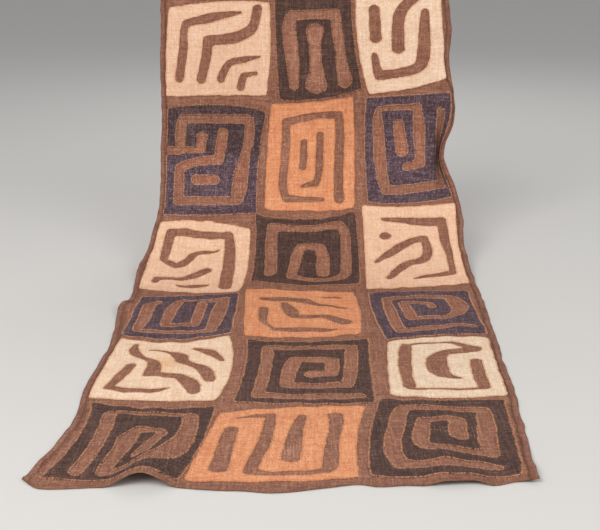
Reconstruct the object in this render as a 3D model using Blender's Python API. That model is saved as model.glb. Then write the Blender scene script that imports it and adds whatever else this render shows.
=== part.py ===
# A Kuba raffia cloth: a long brown ground cloth with eighteen raffia patches sewn on its
# face in three columns and six rows, and a narrow edging strip sewn down each long side.
# It hangs from its top edge, bends forward in a wide sweep and runs out over the floor.
#
# Frame, in metres: +Z up, the floor at z = 0, the front hem towards -Y, the hanging part
# towards +Y. The origin is on the floor, under the middle of the cloth.
# Flat places on the cloth are (x, t): x is across, and t is the length of cloth from the
# front hem, over the floor, round the sweep and up the hanging part.

import math
from collections import namedtuple

import bmesh
import bpy
from mathutils import Vector

# Driving dimensions (the slope of the cloth is taken over a step of SLOPE_STEP each way)
CLOTH_LENGTH = 1.600
FLOOR_LENGTH = 0.790
SWEEP_RADIUS = 0.320
FRONT_Y = -0.546
GROUND_THICKNESS = 0.0012
PATCH_THICKNESS = 0.0010
SEWN_GAP = 0.0003
EDGING_CLEARANCE = 0.0015
SLOPE_STEP = 0.0005
MM = 0.001

# The hanging part isn't quite flat: it waves a little across its width
WAVE_HEIGHT = 0.006
WAVE_LENGTH = 0.270
WAVE_SHIFT = 0.030
WAVE_START = 0.980
WAVE_FULL = 1.250

# The outline: where the two long sides lie at each length of cloth
Side = namedtuple("Side", "t left right")
SIDES = [
    Side(0.000, -0.370, 0.328),
    Side(0.050, -0.361, 0.329),
    Side(0.100, -0.349, 0.3345),
    Side(0.160, -0.340, 0.340),
    Side(0.210, -0.336, 0.343),
    Side(0.300, -0.3425, 0.352),
    Side(0.425, -0.336, 0.355),
    Side(0.475, -0.333, 0.360),
    Side(0.565, -0.338, 0.363),
    Side(0.665, -0.345, 0.3685),
    Side(0.735, -0.334, 0.3715),
    Side(0.820, -0.339, 0.3725),
    Side(0.890, -0.340, 0.370),
    Side(0.945, -0.327, 0.367),
    Side(0.990, -0.322, 0.366),
    Side(1.030, -0.315, 0.370),
    Side(1.060, -0.3105, 0.367),
    Side(1.110, -0.3085, 0.360),
    Side(1.200, -0.309, 0.358),
    Side(1.270, -0.305, 0.356),
    Side(1.335, -0.3045, 0.349),
    Side(1.385, -0.3045, 0.338),
    Side(1.425, -0.303, 0.336),
    Side(1.470, -0.300, 0.339),
    Side(1.535, -0.298, 0.328),
    Side(1.600, -0.296, 0.322),
]

# The narrow edging strip along each side: its width at each length of cloth
Edging = namedtuple("Edging", "t left right")
EDGING = [
    Edging(0.000, 0.010, 0.010),
    Edging(1.170, 0.010, 0.010),
    Edging(1.235, 0.010, 0.004),
    Edging(1.335, 0.010, 0.004),
    Edging(1.365, 0.010, 0.009),
    Edging(1.600, 0.010, 0.010),
]

# The front hem isn't straight: how far it lies behind (or, below 0, in front of) t = 0
Hem = namedtuple("Hem", "x t")
HEM = [
    Hem(-0.370, 0.012),
    Hem(-0.358, -0.001),
    Hem(-0.345, -0.011),
    Hem(-0.315, -0.013),
    Hem(-0.265, -0.009),
    Hem(-0.160, -0.009),
    Hem(-0.120, -0.015),
    Hem(-0.070, -0.018),
    Hem(-0.030, -0.023),
    Hem(0.005, -0.018),
    Hem(0.045, -0.009),
    Hem(0.085, -0.001),
    Hem(0.110, -0.007),
    Hem(0.150, -0.004),
    Hem(0.195, -0.005),
    Hem(0.240, -0.001),
    Hem(0.270, -0.003),
    Hem(0.300, 0.006),
    Hem(0.328, 0.003),
]

# Ridges raised from the cloth: where a crest starts, where it has faded out, its height
# at the start and how far it reaches to each side of the crest
Fold = namedtuple("Fold", "name x t end_x end_t height reach")
FOLDS = [
    Fold("hem_arch", -0.206, 0.000, -0.163, 0.210, 0.0225, 0.053),
    Fold("hem_swell", 0.215, 0.000, 0.190, 0.230, 0.008, 0.060),
    Fold("right_corner", 0.345, 0.000, 0.300, 0.140, 0.009, 0.050),
    Fold("left_ruck", -0.352, 0.672, -0.220, 0.645, 0.010, 0.055),
    Fold("middle_rise", -0.130, 0.560, -0.180, 0.380, 0.004, 0.070),
]

# The right side turns back into a groove and forward again above the sweep. The bend takes
# up CURL_CLOTH of the cloth's width, and turns by CURL_TURN radians where it is steepest
CURL_X = 0.305
CURL_CLOTH = 0.054
CURL_TURN = 1.50
CURL_T = 1.188
CURL_HALF_LENGTH = 0.125
CURL_STEPS = 12
CURL_CROWDING = 1.6

# The patches, in millimetres from the middle line and from the front hem, each by the
# corners of its near edge (towards the hem) and of its far edge (towards the top). Each
# edge bows at its middle: near and far towards the top, left and right towards the right
Patch = namedtuple("Patch", "row column colour near_left near_right far_left far_right bows")
Bows = namedtuple("Bows", "near far left right")
PATCHES = [
    Patch(1, "left", "cream", (-295, 1320), (-70, 1320), (-280, 1515), (-60, 1525), Bows(3, 8, -3, 6)),
    Patch(1, "middle", "black", (-42, 1311), (148, 1337), (-52, 1545), (118, 1545), Bows(-9, 0, -1, -6)),
    Patch(1, "right", "cream", (161, 1324), (333, 1362), (128, 1553), (310, 1553), Bows(-6, 0, -12, 0)),
    Patch(2, "left", "indigo", (-300, 1043), (-89, 1049), (-293, 1296), (-67, 1287), Bows(-4, 13, -5, -9)),
    Patch(2, "middle", "orange", (-74, 1058), (128, 1061), (-59, 1303), (125, 1321), Bows(-8, -3, -3, 4)),
    Patch(2, "right", "indigo", (158, 1076), (352, 1088), (153, 1318), (346, 1333), Bows(-10, 0, -4, 0)),
    Patch(3, "left", "cream", (-329, 793), (-117, 773), (-305, 1026), (-104, 1007), Bows(-18, 11, -5, 5)),
    Patch(3, "middle", "black", (-99, 823), (132, 819), (-95, 1048), (130, 1056), Bows(-14, -17, 4, 5)),
    Patch(3, "right", "cream", (142, 788), (361, 820), (145, 1070), (355, 1075), Bows(-4, -7, 3, -3)),
    Patch(4, "left", "indigo", (-322, 534), (-119, 533), (-314, 740), (-116, 763), Bows(-23, -5, 2, 1)),
    Patch(4, "middle", "orange", (-97, 532), (117, 541), (-105, 777), (114, 765), Bows(-15, 3, 0, 7)),
    Patch(4, "right", "indigo", (161, 509), (352, 539), (144, 762), (346, 773), Bows(9, 4, -6, -8)),
    Patch(5, "left", "cream", (-334, 268), (-127, 257), (-319, 520), (-122, 523), Bows(-6, -27, 0, 16)),
    Patch(5, "middle", "black", (-101, 253), (126, 248), (-91, 512), (131, 518), Bows(-7, -14, 8, -2)),
    Patch(5, "right", "cream", (150, 279), (338, 279), (163, 500), (347, 521), Bows(-13, 13, -2, -1)),
    Patch(6, "left", "black", (-350, 12), (-158, 3), (-322, 252), (-124, 238), Bows(-2, -16, 16, 7)),
    Patch(6, "middle", "orange", (-151, 8), (87, 16), (-117, 212), (108, 236), Bows(-8, 8, -1, -8)),
    Patch(6, "right", "black", (101, 19), (312, 20), (133, 264), (329, 262), Bows(-6, -4, -9, 1)),
]

# How many faces cross each strip of the cloth, from left to right and from hem to top:
# patch columns and rows have the bare ground between them
COLUMNS = ["left", "middle", "right"]
ROWS = [6, 5, 4, 3, 2, 1]
FACES_ACROSS = {"left": 12, "middle": 9, "right": 14}
FACES_ALONG = {6: 9, 5: 6, 4: 6, 3: 8, 2: 10, 1: 5}

# Colour, roughness and metallic value of each material
FINISHES = {
    "brown": (0.250, 0.110, 0.070, 0.92),
    "edging": (0.230, 0.105, 0.070, 0.92),
    "cream": (0.760, 0.500, 0.320, 0.90),
    "black": (0.070, 0.042, 0.036, 0.92),
    "indigo": (0.075, 0.050, 0.066, 0.92),
    "orange": (0.700, 0.290, 0.120, 0.90),
}


def smooth_step(value):
    value = min(max(value, 0.0), 1.0)
    return value * value * (3 - 2 * value)


def bell(value):
    """1 at 0, falling smoothly to 0 at 1 and beyond."""
    value = min(abs(value), 1.0)
    return 0.5 + 0.5 * math.cos(math.pi * value)


def on_curve(table, given, wanted, at):
    """The wanted column of a table where its given column is at, on a smooth curve."""
    last = len(table) - 2
    k = next((n for n in range(last + 1) if at <= getattr(table[n + 1], given)), last)
    rows = [table[max(k - 1, 0)], table[k], table[k + 1], table[min(k + 2, last + 1)]]
    before, a, b, after = [getattr(row, given) for row in rows]
    earlier, start, end, later = [getattr(row, wanted) for row in rows]
    span = b - a
    f = (at - a) / span
    slope_in = (end - earlier) / (b - before) * span
    slope_out = (later - start) / (after - a) * span
    return (
        start * (2 * f**3 - 3 * f**2 + 1)
        + slope_in * (f**3 - 2 * f**2 + f)
        + end * (3 * f**2 - 2 * f**3)
        + slope_out * (f**3 - f**2)
    )


def side_at(t):
    """The left and right side at this length of cloth."""
    return on_curve(SIDES, "t", "left", t), on_curve(SIDES, "t", "right", t)


def sweep_angle(t):
    """How far the cloth has turned up from the floor: 0 on it, a quarter turn hanging."""
    return min(max((t - FLOOR_LENGTH) / SWEEP_RADIUS, 0.0), math.pi / 2)


def side_profile(t):
    """The middle line of the drape, seen from the side."""
    angle = sweep_angle(t)
    y = FRONT_Y + min(t, FLOOR_LENGTH) + SWEEP_RADIUS * math.sin(angle)
    hung = max(t - FLOOR_LENGTH - SWEEP_RADIUS * math.pi / 2, 0.0)
    z = SWEEP_RADIUS * (1 - math.cos(angle)) + hung
    return Vector((0.0, y, z))


def fold_height(x, t):
    height = 0.0
    for fold in FOLDS:
        run = Vector((fold.end_x - fold.x, fold.end_t - fold.t))
        place = Vector((x - fold.x, t - fold.t))
        along = place.dot(run) / run.length_squared
        across = place.cross(run.normalized())
        height += fold.height * bell(across / fold.reach) * (1 - smooth_step(along))
    return height


def curl_window(t):
    return bell((t - CURL_T) / CURL_HALF_LENGTH)


def curl_shift(x, t):
    """How far the bend at the right side has drawn the cloth in and sunk it by this place."""
    turn = CURL_TURN * curl_window(t)
    share = min(max((x - CURL_X) / CURL_CLOTH, 0.0), 1.0)
    step = share * CURL_CLOTH / CURL_STEPS
    drawn = sunk = 0.0
    for k in range(CURL_STEPS):
        angle = turn * math.sin(2 * math.pi * share * (k + 0.5) / CURL_STEPS)
        drawn += step * (1 - math.cos(angle))
        sunk += step * math.sin(angle)
    return drawn, sunk


def back_point(x, t):
    """A point of the cloth's back, which is the side that lies on the floor."""
    wave = math.sin(2 * math.pi * (x + WAVE_SHIFT) / WAVE_LENGTH)
    hanging = smooth_step((t - WAVE_START) / (WAVE_FULL - WAVE_START))
    drawn, sunk = curl_shift(x, t)
    angle = sweep_angle(t)
    face = Vector((0.0, -math.sin(angle), math.cos(angle)))
    place = side_profile(t) + face * (fold_height(x, t) + WAVE_HEIGHT * wave * hanging - sunk)
    place.x = x - drawn
    return place


def raised_point(x, t, height):
    """The point that stands this high over the cloth's back, square to it."""
    across = back_point(x + SLOPE_STEP, t) - back_point(x - SLOPE_STEP, t)
    along = back_point(x, t + SLOPE_STEP) - back_point(x, t - SLOPE_STEP)
    return back_point(x, t) + across.cross(along).normalized() * height


def patch_at(row, column):
    return next(p for p in PATCHES if (p.row, p.column) == (row, column))


def edging_lines(t):
    """The inner edge of the edging strip at each side."""
    left, right = side_at(t)
    return left + on_curve(EDGING, "t", "left", t), right - on_curve(EDGING, "t", "right", t)


def net_line(row, end):
    """The cloth's crossing points on one line of patch corners, from side to side."""
    inner = []
    for column in COLUMNS:
        patch = patch_at(row, column)
        inner += [Vector(getattr(patch, f"{end}_{side}")) * MM for side in ("left", "right")]
    first, last = inner[0], inner[-1]
    strip_left, strip_right = edging_lines(first.y)[0], edging_lines(last.y)[1]
    first.x = max(first.x, strip_left + EDGING_CLEARANCE)
    last.x = min(last.x, strip_right - EDGING_CLEARANCE)
    ends = side_at(first.y)[0], strip_left, strip_right, side_at(last.y)[1]
    left_end = [Vector((x, first.y)) for x in ends[:2]]
    right_end = [Vector((x, last.y)) for x in ends[2:]]
    return left_end + inner + right_end


def end_line(line, t):
    """A line of crossing points carried on to the cloth's front or top edge."""
    left, right = side_at(t)
    inner_left, inner_right = edging_lines(t)
    first, last = line[1].x, line[-2].x
    places = [inner_left + (p.x - first) / (last - first) * (inner_right - inner_left) for p in line]
    places[0], places[-1] = left, right
    return [Vector((x, t)) for x in places]


def cloth_net():
    """Ten crossing points on each of fourteen lines, from the front hem to the top."""
    lines = [net_line(row, end) for row in ROWS for end in ("near", "far")]
    return [end_line(lines[0], 0.0), *lines, end_line(lines[-1], CLOTH_LENGTH)]


NET = cloth_net()
NET_FACES_ACROSS = [1, 1]
for name in COLUMNS:
    NET_FACES_ACROSS += [FACES_ACROSS[name], 1]
NET_FACES_ACROSS += [1]
NET_FACES_ALONG = [1]
for number in ROWS:
    NET_FACES_ALONG += [FACES_ALONG[number], 1]


def patch_of(k, m):
    """The patch whose first net column and net row these are, if there is one."""
    if k % 2 or m % 2 == 0 or not 2 <= k <= 6 or not 1 <= m <= 11:
        return None
    return patch_at(ROWS[m // 2], COLUMNS[k // 2 - 1])


def bow_along(k, m):
    """How far the net line bows along the cloth between crossing points k and k + 1."""
    patch, below = patch_of(k, m), patch_of(k, m - 1)
    return (patch.bows.near if patch else below.bows.far if below else 0) * MM


def bow_across(k, m):
    """How far the net line bows across the cloth between rows m and m + 1, but not over an edging."""
    patch, before = patch_of(k, m), patch_of(k - 1, m)
    if patch:
        return (max(patch.bows.left, 0) if k == 2 else patch.bows.left) * MM
    if before:
        return (min(before.bows.right, 0) if k == len(NET[0]) - 3 else before.bows.right) * MM
    return 0.0


def net_place(u, v):
    """The flat place at these net coordinates: between crossing points, with bowed edges."""
    k, m = min(int(u), len(NET[0]) - 2), min(int(v), len(NET) - 2)
    across, along = u - k, v - m
    near = NET[m][k].lerp(NET[m][k + 1], across)
    far = NET[m + 1][k].lerp(NET[m + 1][k + 1], across)
    place = near.lerp(far, along)
    arch_across, arch_along = 4 * across * (1 - across), 4 * along * (1 - along)
    place.x += (bow_across(k, m) * (1 - across) + bow_across(k + 1, m) * across) * arch_along
    place.y += (bow_along(k, m) * (1 - along) + bow_along(k, m + 1) * along) * arch_across
    return place


def net_point(u, v):
    """The flat place (x, t), with the sides and the hem on their curves too."""
    place = net_place(u, v)
    ends = net_place(0, v), net_place(len(NET[0]) - 1, v)
    share = (place.x - ends[0].x) / (ends[1].x - ends[0].x)
    left, right = side_at(ends[0].y)[0], side_at(ends[1].y)[1]
    place.x += (left - ends[0].x) * (1 - share) ** 3 + (right - ends[1].x) * share**3
    place.y += on_curve(HEM, "x", "t", place.x) * max(1 - v, 0.0)
    return place


def net_steps(counts, first, last):
    """The net coordinates of the face edges between two net lines."""
    steps = [float(first)]
    for k in range(first, last):
        steps += [k + (n + 1) / counts[k] for n in range(counts[k])]
    return steps


def crowded(u):
    """The right patch column's face edges crowd towards the bend at the right side."""
    k = len(NET_FACES_ACROSS) - 3
    return k + 1 - (k + 1 - u) ** CURL_CROWDING if k < u < k + 1 else u


def sewn_sheet(name, across, along, lift, thickness, finish, collection):
    """One cloth piece between net lines: cut flat, thickened, then laid on the drape."""
    us = [crowded(u) for u in net_steps(NET_FACES_ACROSS, *across)]
    vs = net_steps(NET_FACES_ALONG, *along)
    bm = bmesh.new()
    bmesh.ops.create_grid(bm, x_segments=len(us) - 1, y_segments=len(vs) - 1, size=1.0)
    for vert in bm.verts:
        column = round((vert.co.x + 1) / 2 * (len(us) - 1))
        line = round((vert.co.y + 1) / 2 * (len(vs) - 1))
        vert.co = net_point(us[column], vs[line]).to_3d()
    bmesh.ops.triangulate(bm, faces=bm.faces[:], quad_method="SHORT_EDGE")
    slab = bmesh.ops.extrude_face_region(bm, geom=bm.faces[:])
    face_side = [part for part in slab["geom"] if isinstance(part, bmesh.types.BMVert)]
    bmesh.ops.translate(bm, verts=face_side, vec=(0.0, 0.0, thickness))
    bmesh.ops.recalc_face_normals(bm, faces=bm.faces[:])
    for vert in bm.verts:
        x, t, height = vert.co
        vert.co = raised_point(x, t, lift + height)
    mesh = bpy.data.meshes.new(name)
    bm.to_mesh(mesh)
    bm.free()
    mesh.shade_smooth()
    sheet = bpy.data.objects.new(name, mesh)
    collection.objects.link(sheet)
    sheet.data.materials.append(finish)


def make_finish(name):
    red, green, blue, roughness = FINISHES[name]
    material = bpy.data.materials.new(f"raffia_{name}")
    material.use_nodes = True
    shader = material.node_tree.nodes["Principled BSDF"]
    shader.inputs["Base Color"].default_value = (red, green, blue, 1.0)
    shader.inputs["Roughness"].default_value = roughness
    shader.inputs["Metallic"].default_value = 0.0
    material.diffuse_color = (red, green, blue, 1.0)
    return material


def build_cloth():
    for old in list(bpy.data.objects):
        bpy.data.objects.remove(old)
    cloth = bpy.data.collections.new("Kuba raffia cloth")
    bpy.context.scene.collection.children.link(cloth)
    finishes = {name: make_finish(name) for name in FINISHES}
    last_u, last_v = len(NET_FACES_ACROSS), len(NET_FACES_ALONG)
    on_face = GROUND_THICKNESS + SEWN_GAP

    def sheet(name, across, along, lift, thickness, finish):
        return sewn_sheet(name, across, along, lift, thickness, finishes[finish], cloth)

    sheet("ground_cloth", (0, last_u), (0, last_v), 0.0, GROUND_THICKNESS, "brown")
    sheet("edging_left", (0, 1), (0, last_v), on_face, PATCH_THICKNESS, "edging")
    sheet("edging_right", (last_u - 1, last_u), (0, last_v), on_face, PATCH_THICKNESS, "edging")
    for patch in PATCHES:
        u = 2 + 2 * COLUMNS.index(patch.column)
        v = 1 + 2 * ROWS.index(patch.row)
        name = f"patch_row{patch.row}_{patch.column}"
        sheet(name, (u, u + 1), (v, v + 1), on_face, PATCH_THICKNESS, patch.colour)


build_cloth()
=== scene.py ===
import math
import random

import bmesh
import bpy
import numpy as np
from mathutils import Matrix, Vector


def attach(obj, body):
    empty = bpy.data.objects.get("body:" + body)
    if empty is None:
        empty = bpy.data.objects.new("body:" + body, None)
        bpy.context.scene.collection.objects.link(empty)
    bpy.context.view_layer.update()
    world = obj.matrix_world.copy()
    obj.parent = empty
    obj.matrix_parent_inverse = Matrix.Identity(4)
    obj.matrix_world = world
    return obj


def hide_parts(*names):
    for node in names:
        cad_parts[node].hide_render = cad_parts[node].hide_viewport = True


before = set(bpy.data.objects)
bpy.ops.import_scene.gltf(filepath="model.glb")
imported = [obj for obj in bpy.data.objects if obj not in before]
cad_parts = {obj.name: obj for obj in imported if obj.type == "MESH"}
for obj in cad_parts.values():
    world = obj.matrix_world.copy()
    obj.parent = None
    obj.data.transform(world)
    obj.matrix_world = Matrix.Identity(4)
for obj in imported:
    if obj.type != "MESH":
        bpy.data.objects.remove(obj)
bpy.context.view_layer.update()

for chosen in list(bpy.context.selected_objects):
    chosen.select_set(False)

mm = 0.001

# The drape: flat places are (x, t), across the cloth and along it from the front hem, in metres
drape = {
    "clothLength": 1.600,
    "floorLength": 0.790,  # cloth that lies on the floor
    "sweepRadius": 0.320,
    "frontY": -0.546,
    "slopeStep": 0.0005,
    "waveHeight": 0.006,  # the hanging part waves across its width
    "waveLength": 0.270,
    "waveShift": 0.030,
    "waveStart": 0.980,
    "waveFull": 1.250,
    "curlX": 0.305,  # the right side turns back into a groove and forward again above the sweep
    "curlCloth": 0.054,
    "curlTurn": 1.50,  # radians, where it is steepest
    "curlT": 1.188,
    "curlHalfLength": 0.125,
    "curlSteps": 12,
    "puckerHeight": 0.0008,  # the small unevenness that the sewing draws into the cloth
    "puckerSize": 0.052,
}

# The two long sides and the front hem, as in the part: (t, left, right) and (x, t)
sideRows = [
    (0.000, -0.370, 0.328), (0.050, -0.361, 0.329), (0.100, -0.349, 0.3345), (0.160, -0.340, 0.340),
    (0.210, -0.336, 0.343), (0.300, -0.3425, 0.352), (0.425, -0.336, 0.355), (0.475, -0.333, 0.360),
    (0.565, -0.338, 0.363), (0.665, -0.345, 0.3685), (0.735, -0.334, 0.3715), (0.820, -0.339, 0.3725),
    (0.890, -0.340, 0.370), (0.945, -0.327, 0.367), (0.990, -0.322, 0.366), (1.030, -0.315, 0.370),
    (1.060, -0.3105, 0.367), (1.110, -0.3085, 0.360), (1.200, -0.309, 0.358), (1.270, -0.305, 0.356),
    (1.335, -0.3045, 0.349), (1.385, -0.3045, 0.338), (1.425, -0.303, 0.336), (1.470, -0.300, 0.339),
    (1.535, -0.298, 0.328), (1.600, -0.296, 0.322),
]
hemRows = [
    (-0.370, 0.012), (-0.358, -0.001), (-0.345, -0.011), (-0.315, -0.013), (-0.265, -0.009),
    (-0.160, -0.009), (-0.120, -0.015), (-0.070, -0.018), (-0.030, -0.023), (0.005, -0.018),
    (0.045, -0.009), (0.085, -0.001), (0.110, -0.007), (0.150, -0.004), (0.195, -0.005),
    (0.240, -0.001), (0.270, -0.003), (0.300, 0.006), (0.328, 0.003),
]

# The edging strips' widths: (t, left, right)
edgingRows = [
    (0.000, 0.010, 0.010), (1.170, 0.010, 0.010), (1.235, 0.010, 0.004), (1.335, 0.010, 0.004),
    (1.365, 0.010, 0.009), (1.600, 0.010, 0.010),
]

# Ridges raised from the cloth: crest start, where it has faded out, height and reach to each side
foldRows = [
    ((-0.206, 0.000), (-0.163, 0.210), 0.0225, 0.053),  # arch in the front hem
    ((0.215, 0.000), (0.190, 0.230), 0.008, 0.060),  # swell to its right
    ((0.345, 0.000), (0.300, 0.140), 0.009, 0.050),  # right front corner
    ((-0.352, 0.672), (-0.220, 0.645), 0.010, 0.055),  # ruck in the left side
    ((-0.130, 0.560), (-0.180, 0.380), 0.004, 0.070),  # rise between the columns
]


def smoothStep(value):
    value = np.clip(value, 0.0, 1.0)
    return value * value * (3 - 2 * value)


def bell(value):
    return 0.5 + 0.5 * np.cos(np.pi * np.minimum(np.abs(value), 1.0))


# Smooth seeded unevenness, about -1 to 1, with hollows and humps of this size
def softNoise(x, t, size, seed):
    draw = np.random.default_rng(seed)
    total = 0.0
    for turn in range(9):
        heading, wave, phase = draw.uniform(0, 2 * np.pi), size * draw.uniform(0.7, 1.6), draw.uniform(0, 6.28)
        total = total + np.sin((x * np.cos(heading) + t * np.sin(heading)) * 2 * np.pi / wave + phase)
    return total / 3


# A column of a table where its first column is at, on a smooth curve through the rows
def onCurve(rows, column, at):
    given = np.array([row[0] for row in rows])
    wanted = np.array([row[column] for row in rows])
    steps, rises = np.diff(given), np.diff(wanted)
    inner = (wanted[2:] - wanted[:-2]) / (given[2:] - given[:-2])
    slopes = np.concatenate([rises[:1] / steps[:1], inner, rises[-1:] / steps[-1:]])
    k = np.clip(np.searchsorted(given, at) - 1, 0, len(given) - 2)
    span = given[k + 1] - given[k]
    f = np.clip((at - given[k]) / span, 0.0, 1.0)
    start, end = wanted[k] * (2 * f**3 - 3 * f**2 + 1), wanted[k + 1] * (3 * f**2 - 2 * f**3)
    return start + end + span * (slopes[k] * (f**3 - 2 * f**2 + f) + slopes[k + 1] * (f**3 - f**2))


def foldHeight(x, t):
    height = 0.0
    for start, end, rise, reach in foldRows:
        runX, runT = end[0] - start[0], end[1] - start[1]
        length = math.hypot(runX, runT)
        along = ((x - start[0]) * runX + (t - start[1]) * runT) / length**2
        across = ((x - start[0]) * runT - (t - start[1]) * runX) / length
        height = height + rise * bell(across / reach) * (1 - smoothStep(along))
    return height


def sweepAngle(t):
    return np.clip((t - drape["floorLength"]) / drape["sweepRadius"], 0.0, math.pi / 2)


# How far the bend at the right side has drawn the cloth in and sunk it by this place
def curlShift(x, t):
    turn = drape["curlTurn"] * bell((t - drape["curlT"]) / drape["curlHalfLength"])
    share = np.clip((x - drape["curlX"]) / drape["curlCloth"], 0.0, 1.0)
    step = share * drape["curlCloth"] / drape["curlSteps"]
    drawn = sunk = 0.0
    for k in range(drape["curlSteps"]):
        angle = turn * np.sin(2 * np.pi * share * (k + 0.5) / drape["curlSteps"])
        drawn = drawn + step * (1 - np.cos(angle))
        sunk = sunk + step * np.sin(angle)
    return drawn, sunk


# The cloth's back, which is the side that lies on the floor
def backPoints(x, t):
    radius, angle = drape["sweepRadius"], sweepAngle(t)
    wave = np.sin(2 * np.pi * (x + drape["waveShift"]) / drape["waveLength"])
    hanging = smoothStep((t - drape["waveStart"]) / (drape["waveFull"] - drape["waveStart"]))
    drawn, sunk = curlShift(x, t)
    pucker = drape["puckerHeight"] * (1 + softNoise(x, t, drape["puckerSize"], 3))
    lift = foldHeight(x, t) + drape["waveHeight"] * wave * hanging - sunk + np.maximum(pucker, 0.0)
    hung = np.maximum(t - drape["floorLength"] - radius * math.pi / 2, 0.0)
    y = drape["frontY"] + np.minimum(t, drape["floorLength"]) + radius * np.sin(angle)
    z = radius * (1 - np.cos(angle)) + hung
    return np.stack([x - drawn, y - np.sin(angle) * lift, z + np.cos(angle) * lift], axis=-1)


# The points that stand this high over the cloth's back, square to it
def drapedPoints(x, t, height):
    x, t, height = np.broadcast_arrays(*(np.asarray(v, dtype=float) for v in (x, t, height)))
    step = drape["slopeStep"]
    across = backPoints(x + step, t) - backPoints(x - step, t)
    along = backPoints(x, t + step) - backPoints(x, t - step)
    square = np.cross(across, along)
    square /= np.linalg.norm(square, axis=-1, keepdims=True)
    return backPoints(x, t) + square * height[..., None]


# Meshes

# An object from points, faces, a flat place for each point and named values for each point
def addPiece(name, points, faces, uvs, marks, material):
    mesh = bpy.data.meshes.new(name)
    mesh.from_pydata([tuple(p) for p in points], [], faces)
    layer = mesh.uv_layers.new(name="flat")
    order = np.empty(len(mesh.loops), dtype=np.int32)
    mesh.loops.foreach_get("vertex_index", order)
    layer.data.foreach_set("uv", np.asarray(uvs, dtype=np.float32)[order].ravel())
    for markName, values in marks.items():
        values = np.asarray(values, dtype=np.float32)
        if values.ndim == 1:
            mesh.attributes.new(markName, "FLOAT", "POINT").data.foreach_set("value", values)
        else:
            full = np.ones((len(values), 4), dtype=np.float32)
            full[:, :3] = values
            mesh.attributes.new(markName, "FLOAT_COLOR", "POINT").data.foreach_set("color", full.ravel())
    mesh.validate()
    mesh.shade_smooth()
    mesh.materials.append(material)
    piece = bpy.data.objects.new(name, mesh)
    bpy.context.scene.collection.objects.link(piece)
    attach(piece, "root")
    return piece


# A sheet with a front and a back from one flat mesh, walled along its open edges
def closedSheet(name, flat, faces, top, bottom, marks, material, turn=0.0):
    flat, count = np.asarray(flat), len(flat)
    heights = [np.broadcast_to(level, count) for level in (top, bottom)]
    points = np.concatenate([drapedPoints(flat[:, 0], flat[:, 1], level) for level in heights])
    used = {}
    for face in faces:
        for k in range(len(face)):
            used[face[k], face[(k + 1) % len(face)]] = True
    walls = [(a + count, b + count, b, a) for a, b in used if (b, a) not in used]
    backs = [tuple(k + count for k in reversed(face)) for face in faces]
    cosine, sine = math.cos(turn), math.sin(turn)
    weave = np.stack([flat[:, 0] * cosine - flat[:, 1] * sine, flat[:, 0] * sine + flat[:, 1] * cosine], axis=-1)
    doubled = {key: np.concatenate([values, values]) for key, values in marks.items()}
    uvs = np.concatenate([weave, weave])
    return addPiece(name, points, list(faces) + backs + walls, uvs, doubled, material)


# The faces of a grid of points that is stored row by row
def gridFaces(columns, rows):
    faces = []
    for row in range(rows - 1):
        for column in range(columns - 1):
            k = row * columns + column
            faces.append((k, k + 1, k + 1 + columns, k + columns))
    return faces


# Materials

# A colour as seen on screen, 0 to 255, as the shaders want it
def screenColour(red, green, blue):
    parts = [value / 255 for value in (red, green, blue)]
    return tuple(p / 12.92 if p <= 0.04045 else ((p + 0.055) / 1.055) ** 2.4 for p in parts) + (1.0,)


# A shader node with its settings and its inputs: a number, or an output to link from
def addNode(tree, kind, values=None, **settings):
    node = tree.nodes.new(kind)
    for key, value in settings.items():
        setattr(node, key, value)
    for key, value in (values or {}).items():
        if isinstance(value, bpy.types.NodeSocket):
            tree.links.new(value, node.inputs[key])
        else:
            node.inputs[key].default_value = value
    return node


def addMath(tree, operation, first, second=0.0):
    return addNode(tree, "ShaderNodeMath", {0: first, 1: second}, operation=operation).outputs[0]


def addRange(tree, value, low, high, toLow=0.0, toHigh=1.0):
    settings = {"Value": value, "From Min": low, "From Max": high, "To Min": toLow, "To Max": toHigh}
    return addNode(tree, "ShaderNodeMapRange", settings, interpolation_type="SMOOTHSTEP").outputs["Result"]


def addMix(tree, factor, first, second, blend="MIX"):
    node = addNode(tree, "ShaderNodeMix", data_type="RGBA", blend_type=blend)
    for key, value in ((0, factor), (6, first), (7, second)):
        if isinstance(value, bpy.types.NodeSocket):
            tree.links.new(value, node.inputs[key])
        else:
            node.inputs[key].default_value = value
    return node.outputs[2]


def addNoise(tree, vector, scale, detail=2.0, roughness=0.5):
    values = {"Vector": vector, "Scale": scale, "Detail": detail, "Roughness": roughness}
    return addNode(tree, "ShaderNodeTexNoise", values).outputs["Fac"]


weave = {
    "strand": 0.0021,  # width of one raffia strand
    "wander": 0.0004,  # how far a strand strays from its line
    "toneAlong": 16.0,  # how fast a strand's tone changes along it, a metre
    "streakAcross": 240.0,
    "streakAlong": 14.0,
    "mottleScale": 34.0,
    "fibreScale": 900.0,
    "fleckAlong": 150.0,
    "strayScale": 70.0,
    "streakFrom": (0.52, 0.68),  # where each noise starts to show and where it shows in full
    "fleckFrom": (0.58, 0.72),
    "darkFrom": (0.42, 0.28),
    "fibreFrom": (0.58, 0.72),
}


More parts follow.
